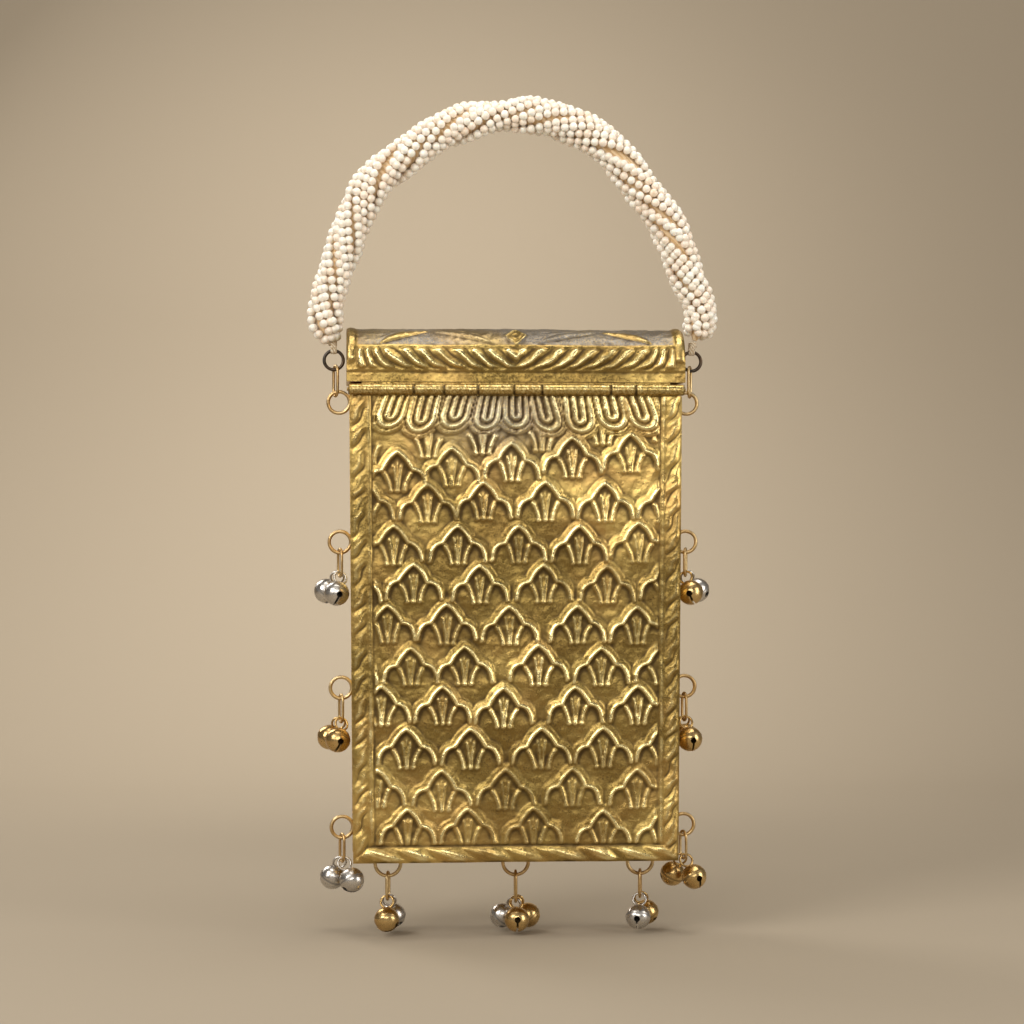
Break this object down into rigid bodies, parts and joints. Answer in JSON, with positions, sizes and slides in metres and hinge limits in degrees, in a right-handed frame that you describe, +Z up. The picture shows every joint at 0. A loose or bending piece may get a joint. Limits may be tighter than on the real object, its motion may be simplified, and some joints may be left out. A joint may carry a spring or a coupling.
{
  "type": "clutch bag",
  "caption": "Embossed brass box clutch with a domed hinged lid, a twisted pearl rope handle and small bells on links round its sides and bottom.",
  "frame": {"origin": "the grip: the inner top of the handle's arch, where the bag is held", "axes": "+Z up, +Y from the hinge side towards the clasp side, +X to the right seen from the hinge side"},
  "size_m": [0.1409, 0.0367, 0.2851],
  "materials": {
    "aged_brass": "hand-worked brass, polished high spots, brown in the recesses",
    "silvered_metal": "silver-tone metal, satin",
    "dark_metal": "dark grey metal wire, worn",
    "pearl": "small cream pearl beads, soft lustre",
    "thread": "cream thread",
    "velvet": "dark red velvet lining"
  },
  "bodies": {
    "handle": {"pearl_rope": "pearl", "left_rope_leg": "pearl", "right_rope_leg": "pearl", "left_thread_loop": "thread", "right_thread_loop": "thread", "left_dark_ring": "dark_metal", "right_dark_ring": "dark_metal"},
    "left_link": {"left_handle_link": "dark_metal"},
    "right_link": {"right_handle_link": "dark_metal"},
    "case": {"back_panel": "aged_brass", "front_panel": "aged_brass", "side_band": "aged_brass", "velvet_lining": "velvet", "hinge_leaf_case": "aged_brass", "hinge_pin": "aged_brass", "clasp_stud": "aged_brass", "left_handle_ring": "aged_brass", "right_handle_ring": "aged_brass", "left_bell_ring_1": "aged_brass", "left_bell_ring_2": "aged_brass", "left_bell_ring_3": "aged_brass", "right_bell_ring_1": "aged_brass", "right_bell_ring_2": "aged_brass", "right_bell_ring_3": "aged_brass", "bottom_loop_1": "aged_brass", "bottom_loop_2": "aged_brass", "bottom_loop_3": "aged_brass"},
    "lid": {"lid_shell": "aged_brass", "hinge_leaf_lid": "aged_brass", "lid_lining": "velvet", "clasp_tab": "aged_brass"},
    "link_left_1": {"bell_link_left_1": "aged_brass"},
    "bell_left_1_a": {"bell_left_1_a": "silvered_metal"},
    "bell_left_1_b": {"bell_left_1_b": "silvered_metal"},
    "link_left_2": {"bell_link_left_2": "aged_brass"},
    "bell_left_2_a": {"bell_left_2_a": "aged_brass"},
    "bell_left_2_b": {"bell_left_2_b": "aged_brass"},
    "link_left_3": {"bell_link_left_3": "aged_brass"},
    "bell_left_3_a": {"bell_left_3_a": "silvered_metal"},
    "bell_left_3_b": {"bell_left_3_b": "silvered_metal"},
    "link_right_1": {"bell_link_right_1": "aged_brass"},
    "bell_right_1_a": {"bell_right_1_a": "aged_brass"},
    "bell_right_1_b": {"bell_right_1_b": "silvered_metal"},
    "link_right_2": {"bell_link_right_2": "aged_brass"},
    "bell_right_2_a": {"bell_right_2_a": "aged_brass"},
    "bell_right_2_b": {"bell_right_2_b": "aged_brass"},
    "link_right_3": {"bell_link_right_3": "aged_brass"},
    "bell_right_3_a": {"bell_right_3_a": "aged_brass"},
    "bell_right_3_b": {"bell_right_3_b": "aged_brass"},
    "link_bottom_1": {"bell_link_bottom_1": "aged_brass"},
    "bell_bottom_1_a": {"bell_bottom_1_a": "aged_brass"},
    "bell_bottom_1_b": {"bell_bottom_1_b": "silvered_metal"},
    "link_bottom_2": {"bell_link_bottom_2": "aged_brass"},
    "bell_bottom_2_a": {"bell_bottom_2_a": "aged_brass"},
    "bell_bottom_2_b": {"bell_bottom_2_b": "silvered_metal"},
    "bell_bottom_2_c": {"bell_bottom_2_c": "aged_brass"},
    "link_bottom_3": {"bell_link_bottom_3": "aged_brass"},
    "bell_bottom_3_a": {"bell_bottom_3_a": "silvered_metal"},
    "bell_bottom_3_b": {"bell_bottom_3_b": "aged_brass"}
  },
  "joints": [
    {"name": "left_link_swing", "type": "hinge", "parent": "handle", "child": "left_link", "pos_m": [-0.0607, 0, -0.07979], "axis": [1, 0, 0], "range_deg": [-50, 50]},
    {"name": "right_link_swing", "type": "hinge", "parent": "handle", "child": "right_link", "pos_m": [0.0607, 0, -0.07979], "axis": [1, 0, 0], "range_deg": [-50, 50]},
    {"name": "case_swing", "type": "hinge", "parent": "left_link", "child": "case", "pos_m": [-0.0607, 0, -0.0875], "axis": [1, 0, 0], "range_deg": [-50, 50]},
    {"name": "lid_hinge", "type": "hinge", "parent": "case", "child": "lid", "pos_m": [0, -0.0169, -0.0872], "axis": [1, 0, 0], "range_deg": [0, 110]},
    {"name": "link_left_1_swing", "type": "hinge", "parent": "case", "child": "link_left_1", "pos_m": [-0.0592, 0, -0.14215], "axis": [1, 0, 0], "range_deg": [-55, 55]},
    {"name": "bell_left_1_a_swing", "type": "hinge", "parent": "link_left_1", "child": "bell_left_1_a", "pos_m": [-0.05887, -0.00126, -0.1498], "axis": [-0.2588, 0.9659, 0], "range_deg": [0, 45]},
    {"name": "bell_left_1_b_swing", "type": "hinge", "parent": "link_left_1", "child": "bell_left_1_b", "pos_m": [-0.05954, 0.00126, -0.1498], "axis": [-0.2588, 0.9659, 0], "range_deg": [-34, 45]},
    {"name": "link_left_2_swing", "type": "hinge", "parent": "case", "child": "link_left_2", "pos_m": [-0.05883, 0, -0.19175], "axis": [1, 0, 0], "range_deg": [-55, 55]},
    {"name": "bell_left_2_a_swing", "type": "hinge", "parent": "link_left_2", "child": "bell_left_2_a", "pos_m": [-0.0585, -0.00126, -0.1994], "axis": [-0.2588, 0.9659, 0], "range_deg": [0, 45]},
    {"name": "bell_left_2_b_swing", "type": "hinge", "parent": "link_left_2", "child": "bell_left_2_b", "pos_m": [-0.05917, 0.00126, -0.1994], "axis": [-0.2588, 0.9659, 0], "range_deg": [-26.6, 45]},
    {"name": "link_left_3_swing", "type": "hinge", "parent": "case", "child": "link_left_3", "pos_m": [-0.05848, 0, -0.23915], "axis": [1, 0, 0], "range_deg": [-18, 18]},
    {"name": "bell_left_3_a_swing", "type": "hinge", "parent": "link_left_3", "child": "bell_left_3_a", "pos_m": [-0.05808, -0.00124, -0.2468], "axis": [-0.309, 0.9511, 0], "range_deg": [-40, 40]},
    {"name": "bell_left_3_b_swing", "type": "hinge", "parent": "link_left_3", "child": "bell_left_3_b", "pos_m": [-0.05888, 0.00124, -0.2468], "axis": [-0.309, 0.9511, 0], "range_deg": [-40, 40]},
    {"name": "link_right_1_swing", "type": "hinge", "parent": "case", "child": "link_right_1", "pos_m": [0.0592, 0, -0.14215], "axis": [1, 0, 0], "range_deg": [-55, 55]},
    {"name": "bell_right_1_a_swing", "type": "hinge", "parent": "link_right_1", "child": "bell_right_1_a", "pos_m": [0.05887, -0.00126, -0.1498], "axis": [0.2588, 0.9659, 0], "range_deg": [-45, 0]},
    {"name": "bell_right_1_b_swing", "type": "hinge", "parent": "link_right_1", "child": "bell_right_1_b", "pos_m": [0.05954, 0.00126, -0.1498], "axis": [0.2588, 0.9659, 0], "range_deg": [-45, 34]},
    {"name": "link_right_2_swing", "type": "hinge", "parent": "case", "child": "link_right_2", "pos_m": [0.05883, 0, -0.19175], "axis": [1, 0, 0], "range_deg": [-55, 55]},
    {"name": "bell_right_2_a_swing", "type": "hinge", "parent": "link_right_2", "child": "bell_right_2_a", "pos_m": [0.05906, -0.00128, -0.1994], "axis": [-0.1736, 0.9848, 0], "range_deg": [-45, 1.8]},
    {"name": "bell_right_2_b_swing", "type": "hinge", "parent": "link_right_2", "child": "bell_right_2_b", "pos_m": [0.05861, 0.00128, -0.1994], "axis": [-0.1736, 0.9848, 0], "range_deg": [-45, 0]},
    {"name": "link_right_3_swing", "type": "hinge", "parent": "case", "child": "link_right_3", "pos_m": [0.05848, 0, -0.23915], "axis": [1, 0, 0], "range_deg": [-18, 18]},
    {"name": "bell_right_3_a_swing", "type": "hinge", "parent": "link_right_3", "child": "bell_right_3_a", "pos_m": [0.05888, -0.00124, -0.2468], "axis": [-0.309, 0.9511, 0], "range_deg": [-40, 40]},
    {"name": "bell_right_3_b_swing", "type": "hinge", "parent": "link_right_3", "child": "bell_right_3_b", "pos_m": [0.05808, 0.00124, -0.2468], "axis": [-0.309, 0.9511, 0], "range_deg": [-40, 40]},
    {"name": "link_bottom_1_swing", "type": "hinge", "parent": "case", "child": "link_bottom_1", "pos_m": [-0.04291, 0, -0.25225], "axis": [1, 0, 0], "range_deg": [-55, 55]},
    {"name": "bell_bottom_1_a_swing", "type": "hinge", "parent": "link_bottom_1", "child": "bell_bottom_1_a", "pos_m": [-0.04318, -0.00127, -0.2599], "axis": [0.2079, 0.9781, 0], "range_deg": [-50, 50]},
    {"name": "bell_bottom_1_b_swing", "type": "hinge", "parent": "link_bottom_1", "child": "bell_bottom_1_b", "pos_m": [-0.04264, 0.00127, -0.2599], "axis": [0.2079, 0.9781, 0], "range_deg": [-50, 50]},
    {"name": "link_bottom_2_swing", "type": "hinge", "parent": "case", "child": "link_bottom_2", "pos_m": [0.00071, 0, -0.25225], "axis": [1, 0, 0], "range_deg": [-55, 55]},
    {"name": "bell_bottom_2_a_swing", "type": "hinge", "parent": "link_bottom_2", "child": "bell_bottom_2_a", "pos_m": [0.00071, -0.00175, -0.26069], "axis": [0, 1, 0], "range_deg": [-50, 50]},
    {"name": "bell_bottom_2_b_swing", "type": "hinge", "parent": "link_bottom_2", "child": "bell_bottom_2_b", "pos_m": [0.00071, 0, -0.2615], "axis": [0, 1, 0], "range_deg": [0, 30]},
    {"name": "bell_bottom_2_c_swing", "type": "hinge", "parent": "link_bottom_2", "child": "bell_bottom_2_c", "pos_m": [0.00071, 0.0015, -0.26094], "axis": [0, 1, 0], "range_deg": [-30, 0]},
    {"name": "link_bottom_3_swing", "type": "hinge", "parent": "case", "child": "link_bottom_3", "pos_m": [0.04351, 0, -0.25225], "axis": [1, 0, 0], "range_deg": [-55, 55]},
    {"name": "bell_bottom_3_a_swing", "type": "hinge", "parent": "link_bottom_3", "child": "bell_bottom_3_a", "pos_m": [0.04324, -0.00127, -0.2599], "axis": [0.2079, 0.9781, 0], "range_deg": [-50, 50]},
    {"name": "bell_bottom_3_b_swing", "type": "hinge", "parent": "link_bottom_3", "child": "bell_bottom_3_b", "pos_m": [0.04378, 0.00127, -0.2599], "axis": [0.2079, 0.9781, 0], "range_deg": [-50, 50]}
  ],
  "couplings": [
    {"joint": "right_link_swing", "follows": "left_link_swing", "ratio": 1}
  ]
}
